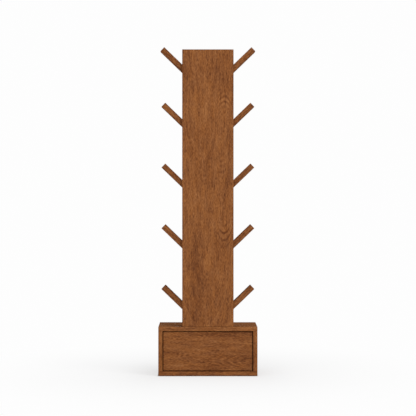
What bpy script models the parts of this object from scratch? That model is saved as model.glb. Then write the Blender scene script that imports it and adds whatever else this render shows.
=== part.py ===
"""Zigzag bookshelf.

Five pairs of sloping shelf boards meet in a V on the centre line, one above the other, between a
front and a rear plank. The front plank is housed for the boards, and the rear plank is screwed to
them. The planks stand on a low cabinet with one push-to-open drawer on ball slides.

Metres, +Z up. The front is at -Y, and +X is to the right as seen from the front. The origin is on the
floor, under the middle of the cabinet.
"""
import math

import bmesh
import bpy
from mathutils import Matrix, Vector

# Clearances
GAP = 0.0003                    # between two pieces that touch
RUNNING_GAP = 0.00015           # between a ball and its track
OVERCUT = 0.0005                # how far a cutter reaches out of the face that it opens
MERGE_DISTANCE = 0.00001        # closes the seam of a turned form

# Cabinet
CABINET_WIDTH = 0.425
CABINET_DEPTH = 0.300
CABINET_HEIGHT = 0.209          # without the pads
CABINET_BOARD = 0.018
ARRIS = 0.0008                  # flat taken off each sharp edge of a board
BACK_PANEL_THICKNESS = 0.006
BACK_PANEL_INSET = 0.010        # from the cabinet's rear edge to the panel
PANEL_GROOVE_DEPTH = 0.005
PAD_LIFT = 0.002                # the cabinet's underside above the floor
PAD_RADIUS = 0.010
PAD_INSET = 0.030               # from the cabinet's edges to a pad's centre
TONGUE_THICKNESS = 0.006        # of the tongues on the cabinet sides
TONGUE_DEPTH = 0.007
TONGUE_STOP = 0.030             # from the front and rear edges to a tongue's ends

# Planks
PLANK_WIDTH = 0.220
PLANK_THICKNESS = 0.018
PLANK_RISE = 0.170              # above the meeting line of the top pair of shelf boards
PLANK_SETBACK = 0.004           # behind the cabinet's front edge
TENON_THICKNESS = 0.008         # of the stub tenon under each plank
TENON_DEPTH = 0.008
TENON_SHOULDER = 0.020          # from the plank's side edge to the tenon

# Shelf boards
TIER_COUNT = 5
TIER_PITCH = 0.261
TOP_TIER_PITCH = 0.234
LOWEST_TIER_LIFT = 0.002        # the lowest meeting line above the cabinet
SHELF_ANGLE = math.radians(44.0)
SHELF_LENGTH = 0.254            # along the upper face, from the centre line to the tip
TOP_SHELF_LENGTH = 0.260        # the same, of the top pair
SHELF_THICKNESS = 0.024
SHELF_DEPTH = 0.060             # between the two planks
HOUSING_DEPTH = 0.006           # how far the shelf boards reach into the front plank
SPLINE_WIDTH = 0.016            # of the loose tongue across each mitre
SPLINE_THICKNESS = 0.004
SPLINE_STOP = 0.012             # from the shelf's front and rear edges

# Drawer
DRAWER_REVEAL = 0.003           # between the drawer front and the cabinet boards
DRAWER_RECESS = 0.008           # the drawer front behind the cabinet's front edge
DRAWER_FRONT_THICKNESS = 0.018
DRAWER_BOARD = 0.012
DRAWER_SPACE_BELOW = 0.015
DRAWER_SPACE_ABOVE = 0.038
DRAWER_BOTTOM_THICKNESS = 0.006
DRAWER_BOTTOM_LIFT = 0.008      # above the lower edge of the drawer's sides
DRAWER_GROOVE_DEPTH = 0.005
DRAWER_HOUSING_DEPTH = 0.004    # how far the drawer box's ends reach into its sides

# Ball slides
SLIDE_SPACE = 0.0127            # between the cabinet side and the drawer side
SLIDE_SHEET = 0.0012
SLIDE_HEIGHT = 0.035
SLIDE_END_MARGIN = 0.004        # from each end of the drawer's side to the slide
SLIDE_LIP_GAP = 0.0006          # between the lips of one channel and the web of the other
BALL_RADIUS = 0.002
BALL_PITCH = 0.020
BALL_COUNT = 3                  # in a row
CAGE_SHEET = 0.0008

# Push latch
LATCH_FLANGE_RADIUS = 0.018
LATCH_FLANGE_THICKNESS = 0.003
LATCH_BARREL_RADIUS = 0.007
LATCH_BARREL_LENGTH = 0.036
LATCH_BORE_DEPTH = 0.032
PLUNGER_RADIUS = 0.004
PLUNGER_LENGTH = 0.037
PLUNGER_TRAVEL = 0.003
PLUNGER_NOSE = 0.0015           # the chamfer on its tip
LATCH_SCREW_REACH = 0.0125      # from the latch's axis

# Screws
LONG_SCREW_HEAD_RADIUS = 0.005
LONG_SCREW_HEAD_HEIGHT = 0.004
LONG_SCREW_SHANK_RADIUS = 0.003
LONG_SCREW_LENGTH = 0.050
SCREW_HEAD_RADIUS = 0.004
SCREW_HEAD_HEIGHT = 0.0026
SCREW_SHANK_RADIUS = 0.002
PLANK_SCREW_LENGTH = 0.045
SHELF_SCREW_LENGTH = 0.033
FRONT_SCREW_LENGTH = 0.024
SMALL_SCREW_HEAD_RADIUS = 0.003
SMALL_SCREW_HEAD_HEIGHT = 0.0018
SMALL_SCREW_SHANK_RADIUS = 0.0015
LATCH_SCREW_LENGTH = 0.0075

# Where the screws go
REAR_SCREW_EDGE = 0.040         # from the rear plank's side edge
PLANK_SCREW_EDGE = 0.060        # from the plank's side edge
FRONT_SCREW_EDGE = 0.050        # from the ends of the drawer's inner front

# Facets of the round pieces
SCREW_SIDES = 12
PAD_SIDES = 20
LATCH_SIDES = 24
PLUNGER_SIDES = 16
BALL_SEGMENTS = 8
BALL_RINGS = 6
ROUND_SHADE_ANGLE = math.radians(50.0)

# Levels and faces that follow from the sizes
CABINET_BOTTOM = PAD_LIFT
CABINET_TOP = PAD_LIFT + CABINET_HEIGHT
CABINET_FRONT = -CABINET_DEPTH / 2
CABINET_REAR = CABINET_DEPTH / 2
BAY_BOTTOM = CABINET_BOTTOM + CABINET_BOARD
BAY_TOP = CABINET_TOP - CABINET_BOARD
BAY_SIDE = CABINET_WIDTH / 2 - CABINET_BOARD
BACK_PANEL_REAR = CABINET_REAR - BACK_PANEL_INSET
BACK_PANEL_FRONT = BACK_PANEL_REAR - BACK_PANEL_THICKNESS

FRONT_PLANK_FRONT = CABINET_FRONT + PLANK_SETBACK
FRONT_PLANK_REAR = FRONT_PLANK_FRONT + PLANK_THICKNESS
SHELF_FRONT = FRONT_PLANK_REAR - HOUSING_DEPTH
SHELF_REAR = FRONT_PLANK_REAR + SHELF_DEPTH
REAR_PLANK_FRONT = SHELF_REAR + GAP
REAR_PLANK_REAR = REAR_PLANK_FRONT + PLANK_THICKNESS
LOWEST_TIER = CABINET_TOP + LOWEST_TIER_LIFT
TOP_TIER = LOWEST_TIER + TIER_PITCH * (TIER_COUNT - 2) + TOP_TIER_PITCH
PLANK_TOP = TOP_TIER + PLANK_RISE
MITRE_HEIGHT = SHELF_THICKNESS / math.cos(SHELF_ANGLE)
SHELF_SLOPE = math.tan(SHELF_ANGLE)
SHELF_FOOT_REACH = (MITRE_HEIGHT - LOWEST_TIER_LIFT) / SHELF_SLOPE

PLUNGER_OUT = PLUNGER_LENGTH - (LATCH_BORE_DEPTH - PLUNGER_TRAVEL - GAP)
LATCH_REAR = BACK_PANEL_FRONT - GAP
LATCH_MOUTH = LATCH_REAR - LATCH_FLANGE_THICKNESS - LATCH_BARREL_LENGTH
PLUNGER_TIP = LATCH_MOUTH - PLUNGER_OUT

DRAWER_FRONT_FACE = CABINET_FRONT + DRAWER_RECESS
BOX_FRONT = DRAWER_FRONT_FACE + DRAWER_FRONT_THICKNESS + GAP
BOX_REAR = PLUNGER_TIP - GAP
BOX_BOTTOM = BAY_BOTTOM + DRAWER_SPACE_BELOW
BOX_TOP = BAY_TOP - DRAWER_SPACE_ABOVE
BOX_SIDE = BAY_SIDE - SLIDE_SPACE
BOX_INSIDE = BOX_SIDE - DRAWER_BOARD
SLIDE_LEVEL = (BOX_BOTTOM + BOX_TOP) / 2
SLIDE_FRONT = BOX_FRONT + SLIDE_END_MARGIN
SLIDE_REAR = BOX_REAR - SLIDE_END_MARGIN
SLIDE_MIDDLE = (SLIDE_FRONT + SLIDE_REAR) / 2

# Steps across the slide, from the cabinet side towards the drawer: each channel's back, the floor
# of its hollow and its lips
OUTER_BACK = GAP
OUTER_FLOOR = OUTER_BACK + SLIDE_SHEET
CAGE_BACK = OUTER_FLOOR + GAP
CAGE_FLOOR = CAGE_BACK + CAGE_SHEET
INNER_BACK = SLIDE_SPACE - GAP
INNER_FLOOR = INNER_BACK - SLIDE_SHEET
OUTER_LIP = INNER_FLOOR - SLIDE_LIP_GAP
INNER_LIP = CAGE_FLOOR + SLIDE_LIP_GAP
CAGE_LIP = OUTER_LIP - SLIDE_LIP_GAP
BALL_LINE = (INNER_LIP + OUTER_LIP) / 2

# Heights of the slide's members, measured from its middle
OUTER_OUTSIDE = SLIDE_HEIGHT / 2
OUTER_INSIDE = OUTER_OUTSIDE - SLIDE_SHEET
BALL_LEVEL = OUTER_INSIDE - RUNNING_GAP - BALL_RADIUS
INNER_OUTSIDE = BALL_LEVEL - BALL_RADIUS - RUNNING_GAP
INNER_INSIDE = INNER_OUTSIDE - SLIDE_SHEET
CAGE_OUTSIDE = BALL_LEVEL + CAGE_SHEET / 2
CAGE_INSIDE = BALL_LEVEL - CAGE_SHEET / 2

# Colour, roughness and metallic value of each finish
STAINED_WOOD = ((0.235, 0.088, 0.033, 1.0), 0.45, 0.0)
DRAWER_WOOD = ((0.545, 0.355, 0.190, 1.0), 0.55, 0.0)
SPLINE_WOOD = ((0.640, 0.440, 0.250, 1.0), 0.65, 0.0)
ZINC_STEEL = ((0.610, 0.610, 0.600, 1.0), 0.35, 1.0)
BLACK_STEEL = ((0.025, 0.025, 0.027, 1.0), 0.40, 1.0)
GREY_PLASTIC = ((0.230, 0.230, 0.235, 1.0), 0.50, 0.0)
BROWN_FELT = ((0.075, 0.045, 0.030, 1.0), 0.95, 0.0)

SIDES = {"left": -1, "right": 1}
PARTS = "zigzag_bookshelf"
CUTTERS = "cutters"


def clear_scene():
    """Remove what the file holds and make the two collections."""
    for old in list(bpy.data.objects):
        bpy.data.objects.remove(old, do_unlink=True)
    for old in list(bpy.data.collections):
        bpy.data.collections.remove(old)
    for name in (PARTS, CUTTERS):
        bpy.context.scene.collection.children.link(bpy.data.collections.new(name))


def give_finish(piece, finish):
    """Give a piece its own material."""
    colour, roughness, metallic = finish
    material = bpy.data.materials.new(piece.name + "_finish")
    material.use_nodes = True
    shader = material.node_tree.nodes["Principled BSDF"]
    shader.inputs["Base Color"].default_value = colour
    shader.inputs["Roughness"].default_value = roughness
    shader.inputs["Metallic"].default_value = metallic
    material.diffuse_color = colour
    piece.data.materials.append(material)


def add_piece(name, mesh, finish, location=(0.0, 0.0, 0.0)):
    """Add a piece of the bookshelf."""
    piece = bpy.data.objects.new(name, mesh)
    piece.location = location
    bpy.data.collections[PARTS].objects.link(piece)
    give_finish(piece, finish)
    return piece


def add_cutter(name, mesh, location=(0.0, 0.0, 0.0)):
    """Add a hidden form that cuts a piece or is joined to it."""
    cutter = bpy.data.objects.new(name, mesh)
    cutter.location = location
    cutter.display_type = "WIRE"
    cutter.hide_render = True
    bpy.data.collections[CUTTERS].objects.link(cutter)
    return cutter


def as_mesh(name, form):
    """Turn an edit form into a mesh."""
    mesh = bpy.data.meshes.new(name)
    form.to_mesh(mesh)
    form.free()
    return mesh


def box_mesh(name, low, high):
    """Return a box with its middle at zero, and where that middle goes."""
    low, high = Vector(low), Vector(high)
    form = bmesh.new()
    bmesh.ops.create_cube(form, size=1.0, matrix=Matrix.Diagonal((*(high - low), 1.0)))
    return as_mesh(name, form), (low + high) / 2


def box_piece(name, low, high, finish):
    """Add a plain box between two corners."""
    mesh, middle = box_mesh(name, low, high)
    return add_piece(name, mesh, finish, middle)


def box_cutter(name, low, high):
    """Add a box cutter between two corners."""
    mesh, middle = box_mesh(name, low, high)
    return add_cutter(name, mesh, middle)


def ease_edges(board):
    """Take the sharp edge off a board."""
    arris = board.modifiers.new("arris", "BEVEL")
    arris.width = ARRIS
    arris.segments = 1
    arris.limit_method = "NONE"


def wood_board(name, low, high, finish):
    """Add a board with eased edges between two corners."""
    board = box_piece(name, low, high, finish)
    ease_edges(board)
    return board


def cut(piece, cutter):
    """Take a cutter's form out of a piece."""
    bite = piece.modifiers.new(cutter.name, "BOOLEAN")
    bite.operation = "DIFFERENCE"
    bite.solver = "EXACT"
    bite.object = cutter


def join(piece, addition):
    """Make a hidden form one with a piece."""
    bond = piece.modifiers.new(addition.name, "BOOLEAN")
    bond.operation = "UNION"
    bond.solver = "EXACT"
    bond.object = addition


def turned_form(profile, sides):
    """Turn a line of (radius, height) points about the Z axis and close its two ends."""
    form = bmesh.new()
    line = [form.verts.new((radius, 0.0, height)) for radius, height in profile]
    edges = [form.edges.new(pair) for pair in zip(line, line[1:])]
    bmesh.ops.spin(form, geom=line + edges, cent=(0.0, 0.0, 0.0), axis=(0.0, 0.0, 1.0),
                   angle=math.tau, steps=sides)
    bmesh.ops.remove_doubles(form, verts=form.verts, dist=MERGE_DISTANCE)
    bmesh.ops.holes_fill(form, edges=[edge for edge in form.edges if edge.is_boundary])
    bmesh.ops.recalc_face_normals(form, faces=form.faces)
    return form


def placed_mesh(name, form, places):
    """Return one mesh with a copy of the form at each place."""
    single = as_mesh(name + "_single", form)
    group = bmesh.new()
    for place in places:
        copy = single.copy()
        copy.transform(place)
        group.from_mesh(copy)
        bpy.data.meshes.remove(copy)
    bpy.data.meshes.remove(single)
    return as_mesh(name, group)


def shade_round(piece):
    """Shade a turned piece smooth, with its sharp edges kept."""
    piece.data.shade_smooth()
    piece.data.set_sharp_from_angle(angle=ROUND_SHADE_ANGLE)


def aim(point, direction):
    """Return the place of a fastener whose own +Z points along a direction."""
    turn = Vector(direction).to_track_quat("Z", "Y").to_matrix().to_4x4()
    return Matrix.Translation(point) @ turn


def screw_profile(head_radius, head_height, shank_radius, length, room=0.0):
    """Return a countersunk screw's outline from its head, or with room its hole's."""
    flare = (head_radius - shank_radius) / head_height
    reach = OVERCUT if room else 0.0
    mouth = head_radius + room + flare * reach
    return [(mouth, -reach), (shank_radius + room, head_height), (shank_radius + room, length + room)]


def drive_screws(name, sizes, places, boards):
    """Add like screws, each at its own named place, and drill the boards that they enter."""
    mesh = as_mesh(name, turned_form(screw_profile(*sizes), SCREW_SIDES))
    screws = []
    for word, place in places.items():
        screw = bpy.data.objects.new("%s_%s" % (name, word), mesh)
        screw.matrix_world = place
        bpy.data.collections[PARTS].objects.link(screw)
        screws.append(screw)
    give_finish(screws[0], ZINC_STEEL)
    shade_round(screws[0])
    hole = turned_form(screw_profile(*sizes, room=GAP), SCREW_SIDES)
    holes = add_cutter(name + "_holes", placed_mesh(name + "_holes", hole, places.values()))
    for board in boards:
        cut(board, holes)
    return screws


def medium_screw(length):
    """Return the sizes of a medium screw."""
    return SCREW_HEAD_RADIUS, SCREW_HEAD_HEIGHT, SCREW_SHANK_RADIUS, length


def spread(low, high, count):
    """Return evenly spaced places from low to high."""
    step = (high - low) / max(count - 1, 1)
    return [low + step * index for index in range(count)]


def tier_level(tier):
    """Return the height of a tier's meeting line, counted from 1 at the bottom."""
    if tier == TIER_COUNT:
        return TOP_TIER
    return LOWEST_TIER + TIER_PITCH * (tier - 1)


def shelf_middle(tier, reach):
    """Return the height of a shelf board's middle at a distance from the centre line."""
    return tier_level(tier) - MITRE_HEIGHT / 2 + reach * SHELF_SLOPE


def across(side, near, far):
    """Return the lower and upper x of two steps from the cabinet's side towards the drawer."""
    return sorted((side * (BAY_SIDE - near), side * (BAY_SIDE - far)))


def tongue_on(piece, groove_in, name, low, high, root):
    """Give a piece a tongue, rooted in it, and the neighbour a groove with room for it."""
    room = Vector((GAP, GAP, GAP))
    low, high, root = Vector(low), Vector(high), Vector(root)
    cut(groove_in, box_cutter(name + "_groove", low - room, high + room))
    lowest = Vector(map(min, low, low + root))
    highest = Vector(map(max, high, high + root))
    join(piece, box_cutter(name, lowest, highest))


def make_cabinet():
    """Make the four boards and the back panel of the cabinet."""
    half = CABINET_WIDTH / 2
    top = wood_board("base_top", (-half, CABINET_FRONT, BAY_TOP), (half, CABINET_REAR, CABINET_TOP),
                     STAINED_WOOD)
    bottom = wood_board("base_bottom", (-half, CABINET_FRONT, CABINET_BOTTOM),
                        (half, CABINET_REAR, BAY_BOTTOM), STAINED_WOOD)
    boards = {"base_top": top, "base_bottom": bottom}
    for word, side in SIDES.items():
        inner, outer = sorted((side * BAY_SIDE, side * half))
        name = "base_side_" + word
        board = wood_board(name, (inner, CABINET_FRONT, BAY_BOTTOM + GAP),
                           (outer, CABINET_REAR, BAY_TOP - GAP), STAINED_WOOD)
        line = side * (BAY_SIDE + CABINET_BOARD / 2)
        near, far = line - TONGUE_THICKNESS / 2, line + TONGUE_THICKNESS / 2
        start, end = CABINET_FRONT + TONGUE_STOP, CABINET_REAR - TONGUE_STOP
        tongue_on(board, top, name + "_upper_tongue", (near, start, BAY_TOP),
                  (far, end, BAY_TOP + TONGUE_DEPTH), (0, 0, -TONGUE_DEPTH))
        tongue_on(board, bottom, name + "_lower_tongue", (near, start, BAY_BOTTOM - TONGUE_DEPTH),
                  (far, end, BAY_BOTTOM), (0, 0, TONGUE_DEPTH))
        boards[name] = board

    reach = PANEL_GROOVE_DEPTH
    low = Vector((-BAY_SIDE - reach, BACK_PANEL_FRONT, BAY_BOTTOM - reach))
    high = Vector((BAY_SIDE + reach, BACK_PANEL_REAR, BAY_TOP + reach))
    room = Vector((GAP, GAP, GAP))
    groove = box_cutter("back_panel_groove", low - room, high + room)
    for board in boards.values():
        cut(board, groove)
    boards["base_back_panel"] = box_piece("base_back_panel", low, high, STAINED_WOOD)
    return boards


def make_pads():
    """Make the four felt pads under the cabinet."""
    across_reach = CABINET_WIDTH / 2 - PAD_INSET
    for end, depth in (("front", CABINET_FRONT + PAD_INSET), ("rear", CABINET_REAR - PAD_INSET)):
        for word, side in SIDES.items():
            name = "felt_pad_%s_%s" % (end, word)
            disc = turned_form([(PAD_RADIUS, 0.0), (PAD_RADIUS, PAD_LIFT - GAP)], PAD_SIDES)
            pad = add_piece(name, as_mesh(name, disc), BROWN_FELT, (side * across_reach, depth, 0.0))
            shade_round(pad)


def make_plank(name, front_face, base_top):
    """Make an upright plank with a stub tenon in the cabinet's top."""
    half = PLANK_WIDTH / 2
    plank = wood_board(name, (-half, front_face, CABINET_TOP + GAP),
                       (half, front_face + PLANK_THICKNESS, PLANK_TOP), STAINED_WOOD)
    reach = half - TENON_SHOULDER
    line = front_face + PLANK_THICKNESS / 2
    tongue_on(plank, base_top, name + "_tenon",
              (-reach, line - TENON_THICKNESS / 2, CABINET_TOP - TENON_DEPTH),
              (reach, line + TENON_THICKNESS / 2, CABINET_TOP), (0, 0, TENON_DEPTH))
    return plank


def sloping_box(word, tier, grow):
    """Return a box along a shelf board's slope, grown by a clearance all round but at its heel."""
    side = SIDES[word]
    length = TOP_SHELF_LENGTH if tier == TIER_COUNT else SHELF_LENGTH
    heel = -SHELF_THICKNESS * SHELF_SLOPE - SHELF_THICKNESS
    faces = sorted((side * grow, -side * (SHELF_THICKNESS + grow)))
    mesh, middle = box_mesh("sloping_box", (heel, SHELF_FRONT - grow, faces[0]),
                            (length + grow, SHELF_REAR, faces[1]))
    mesh.transform(Matrix.Translation(middle))
    return mesh


def tilt(piece, word, tier):
    """Put a sloping box at its tier and turn it to its slope."""
    piece.location.z = tier_level(tier)
    piece.rotation_euler.y = -SHELF_ANGLE if SIDES[word] > 0 else math.pi + SHELF_ANGLE


def make_shelves(front_plank):
    """Make the pairs of shelf boards, the lowest pair cut flat to stand on the cabinet."""
    block = 2 * MITRE_HEIGHT
    lowest = LOWEST_TIER - block
    front, rear = SHELF_FRONT - OVERCUT, SHELF_REAR + OVERCUT
    foot_block = box_cutter("shelf_foot_block", (-block, front, lowest), (block, rear, CABINET_TOP + GAP))
    shelves = {}
    for word, side in SIDES.items():
        ends = sorted((side * GAP / 2, -side * block))
        mitre_block = box_cutter("mitre_block_" + word, (ends[0], front, lowest), (ends[1], rear, PLANK_TOP))
        ends = sorted((-side * GAP, -side * block))
        heel_block = box_cutter("heel_block_" + word, (ends[0], front - GAP, lowest),
                                (ends[1], rear, PLANK_TOP))
        for tier in range(1, TIER_COUNT + 1):
            board = add_piece("shelf_%s_%d" % (word, tier), sloping_box(word, tier, 0.0), STAINED_WOOD)
            tilt(board, word, tier)
            ease_edges(board)
            cut(board, mitre_block)
            shelves[tier, word] = board
            housing = add_cutter("shelf_housing_%s_%d" % (word, tier), sloping_box(word, tier, GAP))
            tilt(housing, word, tier)
            cut(housing, heel_block)
            cut(front_plank, housing)
        cut(shelves[1, word], foot_block)
    return shelves


def make_splines(shelves):
    """Make the loose tongues across the mitres of all pairs but the lowest."""
    # A spline lies in the middle of the height that both boards leave at its two edges
    sink = (MITRE_HEIGHT - SPLINE_WIDTH / 2 * SHELF_SLOPE) / 2
    room = Vector((GAP, GAP, GAP))
    for tier in range(2, TIER_COUNT + 1):
        level = tier_level(tier) - sink
        low = Vector((-SPLINE_WIDTH / 2, SHELF_FRONT + SPLINE_STOP, level - SPLINE_THICKNESS / 2))
        high = Vector((SPLINE_WIDTH / 2, SHELF_REAR - SPLINE_STOP, level + SPLINE_THICKNESS / 2))
        box_piece("mitre_spline_%d" % tier, low, high, SPLINE_WOOD)
        groove = box_cutter("mitre_spline_groove_%d" % tier, low - room, high + room)
        for word in SIDES:
            cut(shelves[tier, word], groove)


def fix_shelves(shelves, base_top, front_plank, rear_plank):
    """Screw the rear plank to the shelf boards, and the planks and lowest boards to the cabinet."""
    reach = PLANK_WIDTH / 2 - REAR_SCREW_EDGE
    places = {"%s_%d" % (word, tier): aim((side * reach, REAR_PLANK_REAR, shelf_middle(tier, reach)),
                                          (0, -1, 0))
              for tier in range(1, TIER_COUNT + 1) for word, side in SIDES.items()}
    sizes = (LONG_SCREW_HEAD_RADIUS, LONG_SCREW_HEAD_HEIGHT, LONG_SCREW_SHANK_RADIUS, LONG_SCREW_LENGTH)
    drive_screws("rear_screw", sizes, places, [rear_plank, *shelves.values()])

    lines = {"front": (FRONT_PLANK_FRONT + FRONT_PLANK_REAR) / 2,
             "rear": (REAR_PLANK_FRONT + REAR_PLANK_REAR) / 2}
    reach = PLANK_WIDTH / 2 - PLANK_SCREW_EDGE
    places = {"%s_%s" % (end, word): aim((side * reach, line, BAY_TOP), (0, 0, 1))
              for end, line in lines.items() for word, side in SIDES.items()}
    drive_screws("plank_screw", medium_screw(PLANK_SCREW_LENGTH), places,
                 [base_top, front_plank, rear_plank])

    reach = SHELF_FOOT_REACH * 2 / 3
    places = {word: aim((side * reach, (SHELF_FRONT + SHELF_REAR) / 2, BAY_TOP), (0, 0, 1))
              for word, side in SIDES.items()}
    drive_screws("shelf_foot_screw", medium_screw(SHELF_SCREW_LENGTH), places,
                 [base_top, *(shelves[1, word] for word in SIDES)])


def make_drawer():
    """Make the drawer front and the drawer box behind it."""
    half = BAY_SIDE - DRAWER_REVEAL
    front = wood_board("drawer_front", (-half, DRAWER_FRONT_FACE, BAY_BOTTOM + DRAWER_REVEAL),
                       (half, DRAWER_FRONT_FACE + DRAWER_FRONT_THICKNESS, BAY_TOP - DRAWER_REVEAL),
                       STAINED_WOOD)
    room = Vector((GAP, GAP, GAP))
    sides = []
    for word, side in SIDES.items():
        inner, outer = sorted((side * BOX_INSIDE, side * BOX_SIDE))
        sides.append(wood_board("drawer_side_" + word, (inner, BOX_FRONT, BOX_BOTTOM),
                                (outer, BOX_REAR, BOX_TOP), DRAWER_WOOD))
    ends = []
    reach = BOX_INSIDE + DRAWER_HOUSING_DEPTH
    for name, face in (("drawer_box_front", BOX_FRONT), ("drawer_box_back", BOX_REAR - DRAWER_BOARD)):
        low = Vector((-reach, face, BOX_BOTTOM))
        high = Vector((reach, face + DRAWER_BOARD, BOX_TOP))
        ends.append(wood_board(name, low, high, DRAWER_WOOD))
        housing = box_cutter(name + "_housing", low - room, high + room)
        for side in sides:
            cut(side, housing)

    reach = DRAWER_GROOVE_DEPTH
    level = BOX_BOTTOM + DRAWER_BOTTOM_LIFT
    low = Vector((-BOX_INSIDE - reach, BOX_FRONT + DRAWER_BOARD - reach, level))
    high = Vector((BOX_INSIDE + reach, BOX_REAR - DRAWER_BOARD + reach, level + DRAWER_BOTTOM_THICKNESS))
    groove = box_cutter("drawer_bottom_groove", low - room, high + room)
    for board in sides + ends:
        cut(board, groove)
    bottom = box_piece("drawer_bottom", low, high, DRAWER_WOOD)

    reach = BOX_INSIDE - FRONT_SCREW_EDGE
    places = {word: aim((side * reach, BOX_FRONT + DRAWER_BOARD, SLIDE_LEVEL), (0, -1, 0))
              for word, side in SIDES.items()}
    screws = drive_screws("drawer_front_screw", medium_screw(FRONT_SCREW_LENGTH), places,
                          [ends[0], front])
    return [front, *sides, *ends, bottom, *screws]


def make_channel(name, side, steps, heights, ends):
    """Make a sheet-steel channel, a box hollowed from the side of its lips."""
    back, floor, lip = steps
    outside, inside = heights
    front, rear = ends
    low_x, high_x = across(side, back, lip)
    channel = box_piece(name, (low_x, front, SLIDE_LEVEL - outside),
                        (high_x, rear, SLIDE_LEVEL + outside), BLACK_STEEL)
    low_x, high_x = across(side, floor, lip + math.copysign(OVERCUT, lip - floor))
    cut(channel, box_cutter(name + "_hollow", (low_x, front - OVERCUT, SLIDE_LEVEL - inside),
                            (high_x, rear + OVERCUT, SLIDE_LEVEL + inside)))
    return channel


def set_balls(cage, side):
    """Set the two rows of balls in a ball cage."""
    ball = bmesh.new()
    bmesh.ops.create_uvsphere(ball, u_segments=BALL_SEGMENTS, v_segments=BALL_RINGS, radius=BALL_RADIUS)
    reach = BALL_PITCH * (BALL_COUNT - 1) / 2
    places = [Matrix.Translation((side * (BAY_SIDE - BALL_LINE), y, SLIDE_LEVEL + level))
              for y in spread(SLIDE_MIDDLE - reach, SLIDE_MIDDLE + reach, BALL_COUNT)
              for level in (-BALL_LEVEL, BALL_LEVEL)]
    join(cage, add_cutter(cage.name + "_balls", placed_mesh(cage.name + "_balls", ball, places)))


def make_slides():
    """Make both ball slides. Return what moves with the drawer and the ball cages."""
    ends = (SLIDE_FRONT, SLIDE_REAR)
    cage_half = BALL_PITCH * BALL_COUNT / 2
    cage_ends = (SLIDE_MIDDLE - cage_half, SLIDE_MIDDLE + cage_half)
    inners, cages = [], []
    for word, side in SIDES.items():
        make_channel("slide_outer_" + word, side, (OUTER_BACK, OUTER_FLOOR, OUTER_LIP),
                     (OUTER_OUTSIDE, OUTER_INSIDE), ends)
        inners.append(make_channel("slide_inner_" + word, side, (INNER_BACK, INNER_FLOOR, INNER_LIP),
                                   (INNER_OUTSIDE, INNER_INSIDE), ends))
        cages.append(make_channel("ball_cage_" + word, side, (CAGE_BACK, CAGE_FLOOR, CAGE_LIP),
                                  (CAGE_OUTSIDE, CAGE_INSIDE), cage_ends))
        set_balls(cages[-1], side)
    return inners, cages


def make_latch(back_panel):
    """Make the push latch behind the drawer: a flanged barrel and the plunger in its bore."""
    rear = aim((0.0, LATCH_REAR, SLIDE_LEVEL), (0, -1, 0))
    length = LATCH_FLANGE_THICKNESS + LATCH_BARREL_LENGTH
    barrel = turned_form([(LATCH_FLANGE_RADIUS, 0.0), (LATCH_FLANGE_RADIUS, LATCH_FLANGE_THICKNESS),
                          (LATCH_BARREL_RADIUS, LATCH_FLANGE_THICKNESS), (LATCH_BARREL_RADIUS, length)],
                         LATCH_SIDES)
    housing = add_piece("push_latch_housing", placed_mesh("push_latch_housing", barrel, [rear]),
                        GREY_PLASTIC)
    shade_round(housing)
    bore_radius = PLUNGER_RADIUS + GAP
    bore = turned_form([(bore_radius, length - LATCH_BORE_DEPTH), (bore_radius, length + OVERCUT)],
                       PLUNGER_SIDES)
    cut(housing, add_cutter("push_latch_bore", placed_mesh("push_latch_bore", bore, [rear])))

    places = {word: aim((side * LATCH_SCREW_REACH, LATCH_REAR - LATCH_FLANGE_THICKNESS, SLIDE_LEVEL),
                        (0, 1, 0))
              for word, side in SIDES.items()}
    sizes = (SMALL_SCREW_HEAD_RADIUS, SMALL_SCREW_HEAD_HEIGHT, SMALL_SCREW_SHANK_RADIUS,
             LATCH_SCREW_LENGTH)
    drive_screws("push_latch_screw", sizes, places, [housing, back_panel])

    stem = turned_form([(PLUNGER_RADIUS - PLUNGER_NOSE, 0.0), (PLUNGER_RADIUS, PLUNGER_NOSE),
                        (PLUNGER_RADIUS, PLUNGER_LENGTH)], PLUNGER_SIDES)
    plunger = add_piece("push_latch_plunger", as_mesh("push_latch_plunger", stem), GREY_PLASTIC)
    plunger.matrix_world = aim((0.0, PLUNGER_TIP, SLIDE_LEVEL), (0, 1, 0))
    shade_round(plunger)


def carry(name, point, pieces):
    """Hang pieces that move together on an empty that sits on their joint's axis."""
    carrier = bpy.data.objects.new(name, None)
    carrier.location = point
    bpy.data.collections[PARTS].objects.link(carrier)
    for piece in pieces:
        piece.parent = carrier
        piece.matrix_parent_inverse = Matrix.Translation(point).inverted()


def build():
    """Build the whole bookshelf."""
    clear_scene()
    cabinet = make_cabinet()
    make_pads()
    front_plank = make_plank("front_plank", FRONT_PLANK_FRONT, cabinet["base_top"])
    rear_plank = make_plank("rear_plank", REAR_PLANK_FRONT, cabinet["base_top"])
    shelves = make_shelves(front_plank)
    make_splines(shelves)
    fix_shelves(shelves, cabinet["base_top"], front_plank, rear_plank)

    drawer = make_drawer()
    inner_slides, cages = make_slides()
    make_latch(cabinet["base_back_panel"])
    carry("drawer_axis", (0.0, BOX_FRONT, SLIDE_LEVEL), drawer + inner_slides)
    carry("ball_cage_axis", (0.0, SLIDE_MIDDLE, SLIDE_LEVEL), cages)


build()
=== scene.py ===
"""The looks of a zigzag bookshelf: stained wood, drawer wood, zinc-plated hardware, felt pads.

Metres, +Z up. The front of the bookshelf is at -Y, and the origin is on the floor under its middle.
"""
import math
import random

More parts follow.
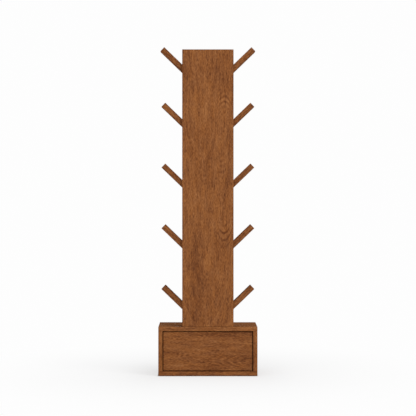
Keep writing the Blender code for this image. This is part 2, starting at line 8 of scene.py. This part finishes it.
import bmesh
import bpy
import numpy as np
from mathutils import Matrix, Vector


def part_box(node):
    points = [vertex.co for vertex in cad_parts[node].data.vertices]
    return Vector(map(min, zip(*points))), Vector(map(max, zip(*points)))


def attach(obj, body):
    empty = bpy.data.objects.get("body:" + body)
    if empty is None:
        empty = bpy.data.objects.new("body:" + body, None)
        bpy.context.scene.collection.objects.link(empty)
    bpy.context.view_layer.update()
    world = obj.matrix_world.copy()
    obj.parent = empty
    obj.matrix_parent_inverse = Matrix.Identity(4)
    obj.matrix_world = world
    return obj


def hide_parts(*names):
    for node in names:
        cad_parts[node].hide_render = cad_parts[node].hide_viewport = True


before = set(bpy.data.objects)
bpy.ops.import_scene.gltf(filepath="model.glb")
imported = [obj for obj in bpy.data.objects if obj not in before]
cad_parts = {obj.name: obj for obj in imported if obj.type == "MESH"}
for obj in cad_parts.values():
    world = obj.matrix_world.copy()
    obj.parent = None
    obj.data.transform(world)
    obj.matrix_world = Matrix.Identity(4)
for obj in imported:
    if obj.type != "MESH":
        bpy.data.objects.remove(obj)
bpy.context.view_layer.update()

# Where the photograph was taken from
CAMERA_PLACE = (-0.0235, -7.80, 0.7549)
CAMERA_TARGET = (0.0005, -0.15, 0.7206)
CAMERA_LENS_MM = 154.6
CAMERA_SENSOR_MM = 36.0

# Light, as (place, size, power in watts) for each lamp
LAMP_TARGET = (0.0, -0.10, 0.70)
KEY_LAMP = ((2.9, -3.2, 2.9), 2.0, 110.0)
FILL_LAMP = ((-2.2, -4.2, 1.0), 3.0, 56.0)
WORLD_LEVEL = 0.56
BACKGROUND = 0.985
FLOOR_TONE = 0.86
FLOOR_SIZE = 60.0
FLOOR_FADE = (-1.39, 0.89)      # from the cabinet's edges: where the floor turns to background
FADE_DEPTH_SHARE = 0.62         # how fast it does so in front and behind, against the sides
SIDE_FADE_REACH = 0.21          # within this much of the cabinet's sides the shade falls off faster,
SIDE_FADE_LEVEL = 0.70          # down to this share
CONTACT_EDGE = 0.006            # how soon the floor's full shade ends outside the cabinet's edges

SHELF_SLOPE = math.radians(44.0)
SIDES = {"left": -1, "right": 1}
TIERS = range(1, 6)

TURNS = np.arange(24) * math.tau / 24       # round a screw or a pad
SAME_PLACE = 0.0001
CLOSED = 0.0001                 # the radius of a form's closed end
SHARP_ANGLE = math.radians(38.0)

# A screw's form, as shares of its own sizes
SOCKET_SHARE = 0.55             # of the head's radius
SOCKET_DEPTH_SHARE = 0.70       # of the head's height
SOCKET_FLOOR_SHARE = 0.97       # of the socket's width, at its floor
SOCKET_MOUTH_SHARE = 1.06       # of the socket's width, at its mouth
BEVEL_SHARE = 0.05              # of the head's radius
RIM_SHARE = 0.2                 # of the bevel, still to come at the head's widest
ROOT_SHARE = 0.70               # of the shank's radius, between the turns of the thread
PITCH_SHARE = 0.95              # of the shank's radius
RIDGE_WIDTH = 0.30              # of the pitch
RINGS_A_PITCH = 6
TIP_LENGTHS = 2.4               # of the shank's radius
TIP_SHARE = 0.12                # of the radius, at the point

# The slides' own screws: head radius, head height, shank radius, length
SLIDE_SCREW = (0.0032, 0.0016, 0.0015, 0.0100)
SLIDE_WEB = 0.0012              # the thickness of the sheet that they go through
SLIDE_SCREW_PROUD = 0.0001      # how far their heads stand off it
OUTER_SCREW_PLACES = (0.030, 0.068)     # behind the stretch that the ball cage runs in
INNER_SCREW_PLACES = (-0.095, -0.020, 0.055)

PAD_SEED = 5
PAD_RAGGED = 0.004
PAD_WAVES = (3, 5, 8, 11)       # round a pad's edge
PAD_PROFILE = [(0.0, 0.05), (0.0, 0.86), (0.14, 0.95), (0.40, 0.985), (0.65, 0.985), (0.88, 0.96),
               (1.0, 0.90), (1.0, 0.05)]

# Colours as seen on a screen, and how fine the metal's rolling marks are in each direction
SHEET_COLOUR = (44, 44, 46)
SHEET_ROLLING = (900.0, 18.0, 900.0)
SCREW_COLOUR = (186, 186, 180)
SCREW_ROLLING = (600.0, 600.0, 600.0)
HOUSING_COLOUR = (120, 121, 122)
PLUNGER_COLOUR = (225, 225, 222)
FELT_COLOUR = (78, 58, 44)
WHITE = (1.0, 1.0, 1.0, 1.0)

UP = Vector((0.0, 0.0, 1.0))
ALONG = Vector((1.0, 0.0, 0.0))
DEEP = Vector((0.0, 1.0, 0.0))


class Signal:
    """A number, colour or vector on its way through a material, for use in plain arithmetic."""

    def __init__(self, recipe, socket):
        self.recipe = recipe
        self.socket = socket

    def number(self, operation, *values):
        """Run a Math node on values."""
        return self.recipe.node("ShaderNodeMath", {"operation": operation}, dict(enumerate(values)))

    def __add__(self, other):
        return self.number("ADD", self, other)

    __radd__ = __add__

    def __sub__(self, other):
        return self.number("SUBTRACT", self, other)

    def __rsub__(self, other):
        return self.number("SUBTRACT", other, self)

    def __mul__(self, other):
        return self.number("MULTIPLY", self, other)

    __rmul__ = __mul__

    def __truediv__(self, other):
        return self.number("DIVIDE", self, other)

    def __pow__(self, other):
        return self.number("POWER", self, other)

    def __abs__(self):
        return self.number("ABSOLUTE", self)

    def least(self, other):
        return self.number("MINIMUM", self, other)

    def most(self, other):
        return self.number("MAXIMUM", self, other)

    def run(self, start, end, low=0.0, high=1.0):
        """Turn the stretch from start to end into low to high, eased at both ends and held beyond."""
        return self.recipe.node("ShaderNodeMapRange", {"interpolation_type": "SMOOTHSTEP"},
                                {"Value": self, "From Min": start, "From Max": end,
                                 "To Min": low, "To Max": high})

    def toward(self, direction):
        """Return how far a vector reaches along a direction."""
        return self.recipe.node("ShaderNodeVectorMath", {"operation": "DOT_PRODUCT"},
                                {0: self, 1: tuple(direction)}, "Value")


class Recipe:
    """A material's nodes."""

    def __init__(self, name, tree=None):
        if tree is None:
            self.material = bpy.data.materials.new(name)
            self.material.use_nodes = True
            tree = self.material.node_tree
        self.tree = tree
        tree.nodes.clear()

    def node(self, kind, settings=None, inputs=None, output=0):
        """Add a node, first its settings, then the values or links of its sockets. Return one output."""
        added = self.tree.nodes.new(kind)
        for key, setting in (settings or {}).items():
            if key == "stops":
                self.set_stops(added.color_ramp, setting)
            else:
                setattr(added, key, setting)
        for key, value in (inputs or {}).items():
            if isinstance(value, Signal):
                self.tree.links.new(value.socket, added.inputs[key])
            else:
                added.inputs[key].default_value = value
        return Signal(self, added.outputs[output]) if len(added.outputs) else None

    @staticmethod
    def set_stops(ramp, stops):
        while len(ramp.elements) < len(stops):
            ramp.elements.new(1.0)
        for element, (place, colour) in zip(ramp.elements, stops):
            element.position = place
            element.color = (*colour, 1.0)

    def place(self):
        """Where a point of the piece is, before any joint moves it."""
        return self.node("ShaderNodeTexCoord", output="Object")

    def facing(self):
        return self.node("ShaderNodeTexCoord", output="Normal")

    def join(self, x, y, z):
        return self.node("ShaderNodeCombineXYZ", inputs={0: x, 1: y, 2: z})

    def noise(self, vector, scale=1.0, detail=2.0, roughness=0.5):
        """Noise around zero, from about -0.5 to 0.5."""
        made = self.node("ShaderNodeTexNoise", {"noise_dimensions": "3D"},
                         {"Vector": vector, "Scale": scale, "Detail": detail, "Roughness": roughness})
        return made - 0.5

    def cells(self, vector, scale):
        return self.node("ShaderNodeTexVoronoi", {"feature": "F1"}, {"Vector": vector, "Scale": scale}, "Color")

    def ramp(self, factor, stops):
        return self.node("ShaderNodeValToRGB", {"stops": stops}, {"Fac": factor}, "Color")

    def tint(self, colour, other, factor, blend):
        return self.node("ShaderNodeMix", {"data_type": "RGBA", "blend_type": blend},
                         {"Factor": factor, 6: colour, 7: other}, 2)

    def bump(self, height, strength, distance):
        return self.node("ShaderNodeBump", inputs={"Height": height, "Strength": strength,
                                                   "Distance": distance})

    def surface(self, colour, roughness, normal, constants):
        """End the material in a Principled shader."""
        inputs = {"Base Color": colour, "Roughness": roughness, "Normal": normal, **constants}
        shader = self.node("ShaderNodeBsdfPrincipled", inputs=inputs)
        self.node("ShaderNodeOutputMaterial", inputs={"Surface": shader})
        return self.material


def srgb(red, green, blue):
    """Turn a colour as seen on a screen, 0 to 255, into the light that it stands for."""
    return tuple(((value / 255 + 0.055) / 1.055) ** 2.4 for value in (red, green, blue))


class Board:
    """How a board lies: the directions of its grain, width and thickness, its middle and half sizes."""

    def __init__(self, node, grain):
        points = np.array([vertex.co for vertex in node.data.vertices])
        aside = ALONG if abs(grain.dot(DEEP)) > 0.5 else DEEP
        axes = [aside, grain.cross(aside)]
        axes.sort(key=lambda axis: -np.ptp(points @ np.array(axis)))
        self.axes = [grain, *axes]
        spans = [points @ np.array(axis) for axis in self.axes]
        self.middle = [(span.max() + span.min()) / 2 for span in spans]
        self.half = [(span.max() - span.min()) / 2 for span in spans]


class Timber:
    """A kind of wood: its colours from dark to light, and how strongly each mark of the grain shows."""

    def __init__(self, stops, bands, streaks, clouds, mottle, fibres, pores, wear, roughness, gloss):
        self.stops = stops
        self.bands = bands
        self.streaks = streaks
        self.clouds = clouds
        self.mottle = mottle
        self.fibres = fibres
        self.pores = pores
        self.wear = wear
        self.roughness = roughness
        self.gloss = gloss


STAINED = Timber(
    stops=[(0.0, srgb(74, 41, 26)), (0.30, srgb(106, 63, 36)), (0.52, srgb(130, 81, 46)),
           (0.75, srgb(150, 98, 57)), (1.0, srgb(170, 118, 74))],
    # wear: how much paler the arrises are, rubbed wear that also stands in for a painted highlight
    bands=0.46, streaks=0.34, clouds=0.24, mottle=0.54, fibres=0.96, pores=0.34, wear=0.14, roughness=0.72,
    gloss=0.004)
BIRCH = Timber(
    stops=[(0.0, srgb(160, 120, 80)), (0.35, srgb(188, 150, 106)), (0.6, srgb(203, 168, 125)),
           (1.0, srgb(222, 192, 152))],
    bands=0.40, streaks=0.40, clouds=0.15, mottle=0.25, fibres=0.30, pores=0.10, wear=0.05, roughness=0.55,
    gloss=0.25)


class Figure:
    """An oval place in a board where the stain took darker, or with nested arches in it.

    The arches follow one another along the grain by the pitch. Their rise along the grain is the bend times
    the square of their reach aside.
    """

    def __init__(self, along, across, length, width, dark=0.0, arches=0.0, pitch=0.02, bend=0.0):
        self.along = along
        self.across = across
        self.length = length
        self.width = width
        self.dark = dark
        self.arches = arches
        self.pitch = pitch
        self.bend = bend


PLANK_FIGURES = [Figure(0.378, -0.071, 0.066, 0.068, arches=0.21, pitch=0.021, bend=-34.0),
                 Figure(0.095, -0.060, 0.130, 0.040, arches=0.12, pitch=0.023, bend=45.0),
                 Figure(-0.193, -0.070, 0.078, 0.064, arches=0.24, pitch=0.032, bend=40.0),
                 Figure(-0.189, -0.070, 0.078, 0.060, arches=0.12, pitch=0.016, bend=40.0),
                 Figure(-0.33, 0.045, 0.26, 0.040, dark=0.10), Figure(0.51, -0.044, 0.20, 0.054, dark=0.17),
                 Figure(0.12, -0.008, 0.17, 0.026, dark=0.09),
                 Figure(0.30, -0.026, 0.07, 0.026, dark=0.10), Figure(-0.56, 0.060, 0.12, 0.080, dark=0.07)]
DRAWER_FIGURES = [Figure(-0.110, -0.010, 0.060, 0.044, arches=0.13, pitch=0.021, bend=-45.0),
                  Figure(0.095, -0.042, 0.130, 0.056, arches=0.15, pitch=0.034, bend=75.0),
                  Figure(0.080, 0.072, 0.26, 0.036, dark=0.22), Figure(-0.145, -0.040, 0.13, 0.05, dark=-0.18)]


class Grain:
    """A noise drawn out along a board: its rates per metre along and across, and how fine it goes.

    A board's own start shifts it across the board, or else along.
    """

    def __init__(self, along, across, detail, roughness=0.5, shifts_along=False):
        self.rates = (along, across, across)
        self.detail = detail
        self.roughness = roughness
        self.shifted = 0 if shifts_along else 1

    def at(self, recipe, ways, start):
        """Run the noise at a point, given as its ways along, across and through the board."""
        scaled = [way * rate for way, rate in zip(ways, self.rates)]
        scaled[self.shifted] = scaled[self.shifted] + start
        return recipe.noise(recipe.join(*scaled), detail=self.detail, roughness=self.roughness)


WANDER = Grain(2.6, 5.0, detail=1.0, shifts_along=True)
STREAKS = Grain(1.5, 14.0, detail=3.0, shifts_along=True)
CLOUDS = Grain(7.0, 17.0, detail=1.0)
MOTTLE = Grain(17.0, 95.0, detail=3.0, roughness=0.65)
FLECKS = Grain(22.0, 200.0, detail=1.0)
FIBRES = Grain(85.0, 330.0, detail=2.0, shifts_along=True)
PORES = Grain(70.0, 1500.0, detail=0.0)
WARMTH = Grain(20.0, 70.0, detail=2.0, shifts_along=True)
FLECK_RANGE = (0.08, 0.26)      # of the noise, from no fleck to a full one
PORE_RANGE = (0.10, 0.26)

START_RANGE = (2.0, 90.0)       # where in the endless noises a board begins
SLIP_RANGE = (-0.035, 0.035)    # how far to one side of the log's heart it is sawn
RING_WIDTH = 0.0065             # of a year's growth
RING_DRIFT = 1.2                # how fast the rings change along the board
LOG_TAPER = 0.10                # how far the rings lean against the board
LOG_WANDER = 0.060              # how far they wander
FIGURE_WANDER = 0.5             # how uneven a figure's outline is
ARCH_WANDER = 0.045             # how uneven its arches are
ARCH_LEVEL = 0.8                # how strongly they show before the mottle breaks them

MID_TONE = 0.52                 # on a timber's scale of colours, from 0 to 1
FLECK_SHARE = 0.6               # of a pore's darkness
END_GRAIN_TONE = 0.16           # how much darker a board's ends are
# the paleness at the arrises is rubbed wear that also stands in for a painted highlight on them
ARRIS_WEAR_AND_HIGHLIGHT = 0.0016             # how far from an arris the stain is rubbed off
FACING_RANGE = (0.55, 0.85)     # of a face's turn in a direction, from not that way to that way
HUE_SHIFT = [(0.0, (0.95, 1.00, 1.14)), (1.0, (1.05, 1.00, 0.86))]      # from cooler to warmer
HUE_SPREAD = 1.4                # how widely the warmth noise spreads over that
FIBRE_RELIEF = 0.5              # against the depth of a pore
BAND_RELIEF = 0.3
RELIEF_STRENGTH = 0.10
RELIEF_DEPTH = 0.0003
PORE_ROUGHNESS = 0.18
MOTTLE_ROUGHNESS = 0.12
HANDLED_POLISH = 0.05
# the shelves' tone, with the left ones darker by painted shade: the front plank's shadow on them
SHELF_TONES_AND_PAINTED_SHADE = {"left": -0.08, "right": -0.04}


def wood(name, board, timber, seed, heart=0.075, edge=0.006, painted_edge_shading=0.10, shade=0.0, painted_top_light=0.0, bold=1.0,
         figures=()):
    """A board sawn from a log: growth rings round the log's heart, fibres and pores.

    Near its edges painted shade darkens it, and where that share is negative a painted highlight lightens it
    instead; right on its arrises it is rubbed paler, wear that also stands in for a painted highlight; on its
    upward faces painted light lightens it, and where that share is negative painted shade darkens it instead.
    """
    recipe = Recipe(name)
    place = recipe.place()
    dice = random.Random(seed)
    start, slip = dice.uniform(*START_RANGE), dice.uniform(*SLIP_RANGE)
    ways = [place.toward(axis) - middle for axis, middle in zip(board.axes, board.middle)]
    along, across, through = ways
    wander, streaks, clouds, mottle, flecks, fibres, pores, warmth = (
        grain.at(recipe, ways, start)
        for grain in (WANDER, STREAKS, CLOUDS, MOTTLE, FLECKS, FIBRES, PORES, WARMTH))
    flecks = flecks.run(*FLECK_RANGE)
    pores = pores.run(*PORE_RANGE)

    lean = along * LOG_TAPER * dice.choice((-1.0, 1.0)) + wander * LOG_WANDER
    radius = ((across + slip) ** 2.0 + (through + heart + lean) ** 2.0) ** 0.5
    growth = recipe.join(radius / RING_WIDTH, along * RING_DRIFT + start, start)
    bands = recipe.noise(growth, detail=3.0, roughness=0.55)
    stain = 0.0
    for figure in figures:
        step, aside = along - figure.along, across - figure.across
        off = ((step / figure.length) ** 2.0 + (aside / figure.width) ** 2.0) ** 0.5
        near = (off + wander * FIGURE_WANDER).run(0.0, 1.0, 1.0, 0.0)
        rise = step - aside ** 2.0 * figure.bend + wander * ARCH_WANDER
        lines = rise.number("SINE", rise * (math.tau / figure.pitch)) * (mottle + ARCH_LEVEL)
        stain = near * (lines * figure.arches + figure.dark) + stain

    rims = [half - abs(way) for half, way in zip(board.half, ways)]
    rim = rims[0].least(rims[1]).most(rims[0].most(rims[1]).least(rims[2]))
    arris_wear_and_highlight = rim.run(0.0, ARRIS_WEAR_AND_HIGHLIGHT, 1.0, 0.0)
    # the band near the edges: painted shade darkens the tone there (a painted highlight where its share is
    # negative), and the surface is smoother
    edge_band = rim.run(0.0, edge, 1.0, 0.0)
    facing = recipe.facing()
    end = abs(facing.toward(board.axes[0])).run(*FACING_RANGE)
    # how far a face turns up: the painted light that a positive share puts on upward faces, and the painted
    # shade that a negative one puts there
    upward = facing.toward(UP).run(*FACING_RANGE)

    marks = (timber.bands * bands + timber.streaks * streaks + timber.clouds * clouds
             + timber.mottle * mottle + timber.fibres * fibres)
    # The tone holds painted light: painted shade in the band near the edges (a painted highlight where that
    # share is negative), the arrises' paleness as wear and a painted highlight, and painted light or painted
    # shade on upward faces by the sign of that share.
    tone = (MID_TONE + shade - stain + marks * bold - timber.pores * (pores + flecks * FLECK_SHARE)
            + timber.wear * arris_wear_and_highlight - edge_band * painted_edge_shading + painted_top_light * upward - END_GRAIN_TONE * end)
    hue = recipe.ramp(0.5 + warmth * HUE_SPREAD, HUE_SHIFT)
    colour = recipe.tint(recipe.ramp(tone, timber.stops), hue, 1.0, "MULTIPLY")
    relief = fibres * FIBRE_RELIEF + bands * BAND_RELIEF - pores
    normal = recipe.bump(relief, RELIEF_STRENGTH, RELIEF_DEPTH)
    roughness = (timber.roughness + pores * PORE_ROUGHNESS + mottle * MOTTLE_ROUGHNESS
                 - edge_band * HANDLED_POLISH)
    return recipe.surface(colour, roughness, normal, {"Specular IOR Level": timber.gloss})


def shades(tone, dark, light):
    """List a ramp's stops, from a darker shade of a tone to a lighter one, each a share of it."""
    return [(0.0, srgb(*(value * dark for value in tone))), (0.5, srgb(*tone)),
            (1.0, srgb(*(min(value * light, 255) for value in tone)))]


def zinc(name, tone, direction, metallic=1.0):
    """Zinc-plated steel: a faint frost of crystals, rolling marks along a direction and light wear."""
    recipe = Recipe(name)
    place = recipe.place()
    frost = recipe.cells(place, scale=260.0)
    cloud = recipe.noise(place, scale=45.0, detail=3.0)
    stretched = recipe.node("ShaderNodeMapping", inputs={"Vector": place, "Scale": direction})
    rolled = recipe.noise(stretched, detail=3.0, roughness=0.6)
    colour = recipe.ramp(0.5 + cloud * 0.7 + rolled * 0.25, shades(tone, dark=0.80, light=1.10))
    colour = recipe.tint(colour, frost, 0.04, "OVERLAY")
    normal = recipe.bump(rolled, strength=0.20, distance=0.0001)
    roughness = 0.34 + cloud * 0.18 + rolled * 0.20
    return recipe.surface(colour, roughness, normal, {"Metallic": metallic})


def moulded(name, tone):
    """Moulded plastic with a fine spark-eroded grain."""
    recipe = Recipe(name)
    place = recipe.place()
    grain = recipe.noise(place, scale=2600.0, detail=2.0)
    cloud = recipe.noise(place, scale=60.0, detail=2.0)
    colour = recipe.ramp(0.5 + cloud * 0.5 + grain * 0.2, shades(tone, dark=0.86, light=1.08))
    normal = recipe.bump(grain, strength=0.25, distance=0.0001)
    return recipe.surface(colour, 0.48 + grain * 0.15 + cloud * 0.10, normal, {})


def felt(name, tone):
    """Pressed felt: tangled fibres, with its hollows darkened by painted shade."""
    recipe = Recipe(name)
    place = recipe.place()
    tangle = recipe.noise(place, scale=1400.0, detail=4.0, roughness=0.75)
    clumps = recipe.noise(place, scale=240.0, detail=2.0)
    colour = recipe.ramp(0.5 + tangle * 0.9 + clumps * 0.5, shades(tone, dark=0.55, light=1.35))
    normal = recipe.bump(tangle + clumps * 0.5, strength=0.8, distance=0.0004)
    return recipe.surface(colour, 0.95 + tangle * 0.1, normal, {"Sheen Weight": 0.3})


def dress(name, material):
    """Give a CAD node its finish."""
    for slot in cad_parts[name].material_slots:
        slot.material = material


def dress_boards():
    """Give every wooden board a finish of its own, sawn from its own place in the log."""
    seed = 1
    grains = {
        "base_top": ALONG, "base_bottom": ALONG, "base_side_left": UP, "base_side_right": UP,
        "base_back_panel": ALONG, "drawer_front": ALONG, "front_plank": UP, "rear_plank": UP,
    }
    special = {
        "front_plank": {"heart": 0.110, "edge": 0.008, "shade": 0.035, "figures": PLANK_FIGURES},
        "drawer_front": {"heart": 0.085, "edge": 0.003, "shade": 0.018, "figures": DRAWER_FIGURES},
        # the top of the base: its upward face lighter by painted light, and its edges lighter by a painted
        # highlight
        "base_top": {"shade": 0.03, "painted_top_light": 0.09, "bold": 0.75, "painted_edge_shading": -0.05},
        "base_bottom": {"shade": 0.02, "bold": 0.85},
        "base_side_left": {"shade": 0.05, "bold": 0.75},
        "base_side_right": {"shade": 0.045, "bold": 0.85},
        "base_back_panel": {"shade": -0.04},
    }
    for word, side in SIDES.items():
        slope = Vector((side * math.cos(SHELF_SLOPE), 0.0, math.sin(SHELF_SLOPE)))
        for tier in TIERS:
            name = "shelf_%s_%d" % (word, tier)
            grains[name] = slope
            # the shelves' upward faces darker by painted shade
            special[name] = {"shade": SHELF_TONES_AND_PAINTED_SHADE[word], "painted_top_light": -0.22}
    for name, grain in grains.items():
        board = Board(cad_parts[name], grain)
        dress(name, wood("stained_" + name, board, STAINED, seed, **special.get(name, {})))
        seed += 1
    pale = {
        "drawer_side_left": DEEP, "drawer_side_right": DEEP, "drawer_box_front": ALONG,
        "drawer_box_back": ALONG, "drawer_bottom": ALONG,
    }
    pale.update({"mitre_spline_%d" % tier: DEEP for tier in TIERS[1:]})
    for name, grain in pale.items():
        board = Board(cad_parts[name], grain)
        dress(name, wood("birch_" + name, board, BIRCH, seed, edge=0.003, painted_edge_shading=0.0))
        seed += 1


def make_camera():
    """Put the camera where the photograph was taken from."""
    data = bpy.data.cameras.new("camera")
    data.lens = CAMERA_LENS_MM
    data.sensor_width = CAMERA_SENSOR_MM
    camera = bpy.data.objects.new("camera", data)
    camera.location = CAMERA_PLACE
    view = Vector(CAMERA_TARGET) - Vector(CAMERA_PLACE)
    camera.rotation_euler = view.to_track_quat("-Z", "Y").to_euler()
    bpy.context.scene.collection.objects.link(camera)
    bpy.context.scene.camera = camera


def add_lamp(name, place, size, power):
    """Hang a square soft lamp that faces the bookshelf."""
    data = bpy.data.lights.new(name, "AREA")
    data.size = size
    data.energy = power
    lamp = bpy.data.objects.new(name, data)
    lamp.location = place
    lamp.rotation_euler = (Vector(LAMP_TARGET) - Vector(place)).to_track_quat("-Z", "Y").to_euler()
    bpy.context.scene.collection.objects.link(lamp)


def seen_directly(recipe):
    """1 where the eye, a reflection or a clear piece looks at a surface, and 0 where light only bounces."""
    rays = [recipe.node("ShaderNodeLightPath", output=ray)
            for ray in ("Is Camera Ray", "Is Glossy Ray", "Is Transmission Ray")]
    return rays[0].most(rays[1]).most(rays[2])


def make_studio():
    """Set up the pale floor, the white surroundings and the lamps."""
    world = bpy.data.worlds.new("studio")
    world.use_nodes = True
    bpy.context.scene.world = world
    recipe = Recipe("studio", world.node_tree)
    seen = seen_directly(recipe)
    level = WORLD_LEVEL + seen * (BACKGROUND - WORLD_LEVEL)
    sky = recipe.node("ShaderNodeBackground", inputs={"Color": WHITE, "Strength": level})
    recipe.node("ShaderNodeOutputWorld", inputs={"Surface": sky})

    form = bmesh.new()
    bmesh.ops.create_grid(form, x_segments=1, y_segments=1, size=FLOOR_SIZE / 2)
    mesh = bpy.data.meshes.new("floor")
    form.to_mesh(mesh)
    form.free()
    floor = bpy.data.objects.new("floor", mesh)
    bpy.context.scene.collection.objects.link(floor)
    recipe = Recipe("floor")
    tone = (FLOOR_TONE, FLOOR_TONE, FLOOR_TONE, 1.0)
    matt = recipe.node("ShaderNodeBsdfDiffuse", inputs={"Color": tone})
    glow = recipe.node("ShaderNodeEmission", inputs={"Color": WHITE, "Strength": BACKGROUND})
    place = recipe.place()
    base_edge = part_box("base_bottom")[1]
    beside = abs(place.toward(ALONG)) - base_edge[0]
    before = (abs(place.toward(DEEP)) - base_edge[1]) * FADE_DEPTH_SHARE
    outside = (beside.most(0.0) ** 2.0 + before.most(0.0) ** 2.0) ** 0.5
    shade = outside.run(*FLOOR_FADE, 1.0, 0.0) * beside.run(0.0, SIDE_FADE_REACH, 1.0, SIDE_FADE_LEVEL)
    fade = (1.0 - shade) * outside.run(0.0, CONTACT_EDGE) * seen_directly(recipe)
    mixed = recipe.node("ShaderNodeMixShader", inputs={0: fade, 1: matt, 2: glow})
    recipe.node("ShaderNodeOutputMaterial", inputs={"Surface": mixed})
    mesh.materials.append(recipe.material)

    add_lamp("key_lamp", *KEY_LAMP)
    add_lamp("fill_lamp", *FILL_LAMP)
    bpy.context.scene.view_settings.view_transform = "Standard"


def ring_stack(name, rings, axis, place, material):
    """Close a form from rings of points, each a depth along the axis and a radius for every turn."""
    axis = Vector(axis)
    turn_start = axis.orthogonal().normalized()
    turn_next = axis.cross(turn_start)
    form = bmesh.new()
    rows = []
    for depth, radius in rings:
        radii = np.broadcast_to(radius, TURNS.shape)
        rows.append([form.verts.new(Vector(place) + axis * depth + turn_start * (math.cos(turn) * reach)
                                    + turn_next * (math.sin(turn) * reach))
                     for turn, reach in zip(TURNS, radii)])
    for row, following in zip(rows, rows[1:]):
        for index, vertex in enumerate(row):
            after = (index + 1) % len(row)
            form.faces.new((vertex, row[after], following[after], following[index]))
    form.faces.new(rows[0])
    form.faces.new(rows[-1])
    bmesh.ops.recalc_face_normals(form, faces=form.faces)
    mesh = bpy.data.meshes.new(name)
    form.to_mesh(mesh)
    form.free()
    for face in mesh.polygons:
        face.use_smooth = True
    mesh.set_sharp_from_angle(angle=SHARP_ANGLE)
    mesh.materials.append(material)
    piece = bpy.data.objects.new(name, mesh)
    bpy.context.scene.collection.objects.link(piece)
    return piece


class Fastener:
    """A countersunk screw: its sizes, and where its head is and which way it points."""

    def __init__(self, head_radius, head_height, shank_radius, length, place, axis):
        self.head_radius = head_radius
        self.head_height = head_height
        self.shank_radius = shank_radius
        self.length = length
        self.place = place
        self.axis = axis

    @classmethod
    def of_node(cls, node):
        """Read a screw's sizes and place from its plain solid in the frame."""
        points = np.array([vertex.co for vertex in node.data.vertices])
        run = int(np.argmax(np.ptp(points, axis=0)))
        middle = (points.max(axis=0) + points.min(axis=0)) / 2
        aside = points - middle
        aside[:, run] = 0.0
        radii = np.linalg.norm(aside, axis=1)
        head_end = points[np.argmax(radii), run]
        away = 1.0 if head_end < middle[run] else -1.0
        depths = (points[:, run] - head_end) * away
        length = float(depths.max())
        place = middle.copy()
        place[run] = head_end
        axis = [0.0, 0.0, 0.0]
        axis[run] = away
        return cls(float(radii.max()), float(depths[depths > SAME_PLACE].min()),
                   float(radii[depths > length - SAME_PLACE].max()), length, place, axis)

    def rings(self):
        """List the rings from the floor of the hexagon socket, over the head, down the thread to the tip."""
        flat = self.head_radius * SOCKET_SHARE * math.cos(math.tau / 12)
        socket = flat / np.cos(TURNS % (math.tau / 6) - math.tau / 12)
        floor = self.head_height * SOCKET_DEPTH_SHARE
        bevel = self.head_radius * BEVEL_SHARE
        rings = [(floor, CLOSED), (floor, socket * SOCKET_FLOOR_SHARE), (bevel, socket),
                 (0.0, socket * SOCKET_MOUTH_SHARE), (0.0, self.head_radius - bevel),
                 (bevel, self.head_radius - bevel * RIM_SHARE),
                 (self.head_height, self.shank_radius * ROOT_SHARE)]
        pitch = self.shank_radius * PITCH_SHARE
        tip = self.shank_radius * TIP_LENGTHS
        depth = self.head_height + pitch / RINGS_A_PITCH
        while depth < self.length:
            turn = (depth / pitch - TURNS / math.tau) % 1.0
            ridge = np.maximum(0.0, 1.0 - np.abs(turn - 0.5) / RIDGE_WIDTH)
            radius = self.shank_radius * (ROOT_SHARE + (1.0 - ROOT_SHARE) * ridge)
            rings.append((depth, radius * min(1.0, TIP_SHARE + (self.length - depth) / tip)))
            depth += pitch / RINGS_A_PITCH
        rings.append((self.length, CLOSED))
        return rings


def add_fastener(name, screw, material, body, node=None):
    """Make a screw in full, in place of its plain solid where it has one."""
    piece = ring_stack(name, screw.rings(), screw.axis, screw.place, material)
    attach(piece, body)
    if node:
        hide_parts(node)


def add_screws(material):
    """Make every screw of the frame in full, and the slides' own screws, which the frame leaves out."""
    for node in sorted(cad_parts):
        if "screw" in node:
            body = "drawer" if node.startswith("drawer") else "root"
            add_fastener(node + "_threaded", Fastener.of_node(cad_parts[node]), material, body, node)
    for word, side in SIDES.items():
        for member, body, places in (("outer", "root", OUTER_SCREW_PLACES),
                                     ("inner", "drawer", INNER_SCREW_PLACES)):
            low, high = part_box("slide_%s_%s" % (member, word))
            web = (low, high)[(side > 0) == (member == "outer")][0]
            towards = side if member == "outer" else -side
            for number, depth in enumerate(places, 1):
                start = (web - towards * (SLIDE_WEB + SLIDE_SCREW_PROUD), depth, (low[2] + high[2]) / 2)
                screw = Fastener(*SLIDE_SCREW, start, (towards, 0.0, 0.0))
                add_fastener("slide_%s_%s_screw_%d" % (member, word, number), screw, material, body)


def add_pads():
    """Make the felt pads with soft, slightly ragged edges, in place of their plain solids."""
    dice = random.Random(PAD_SEED)
    for node in sorted(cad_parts):
        if not node.startswith("felt_pad"):
            continue
        low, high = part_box(node)
        radius = (high[0] - low[0]) / 2
        height = high[2] - low[2]
        ragged = 1.0
        for waves in PAD_WAVES:
            ragged = ragged + PAD_RAGGED * np.sin(TURNS * waves + dice.uniform(0.0, math.tau))
        rings = [(height * share, radius * reach * ragged) for share, reach in PAD_PROFILE]
        place = ((low[0] + high[0]) / 2, (low[1] + high[1]) / 2, low[2])
        pad = ring_stack(node + "_felt", rings, UP, place, felt("brown_felt_" + node, FELT_COLOUR))
        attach(pad, "root")
        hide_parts(node)


def dress_hardware():
    """Give the steel, plastic and felt pieces their finishes."""
    sheet = zinc("black_zinc_sheet", SHEET_COLOUR, SHEET_ROLLING, metallic=0.55)
    for name in ("slide_outer", "slide_inner", "ball_cage"):
        for word in SIDES:
            dress("%s_%s" % (name, word), sheet)
    add_screws(zinc("zinc_screw", SCREW_COLOUR, SCREW_ROLLING))
    dress("push_latch_housing", moulded("grey_plastic", HOUSING_COLOUR))
    dress("push_latch_plunger", moulded("pale_plastic", PLUNGER_COLOUR))
    add_pads()


make_camera()
make_studio()
dress_boards()
dress_hardware()
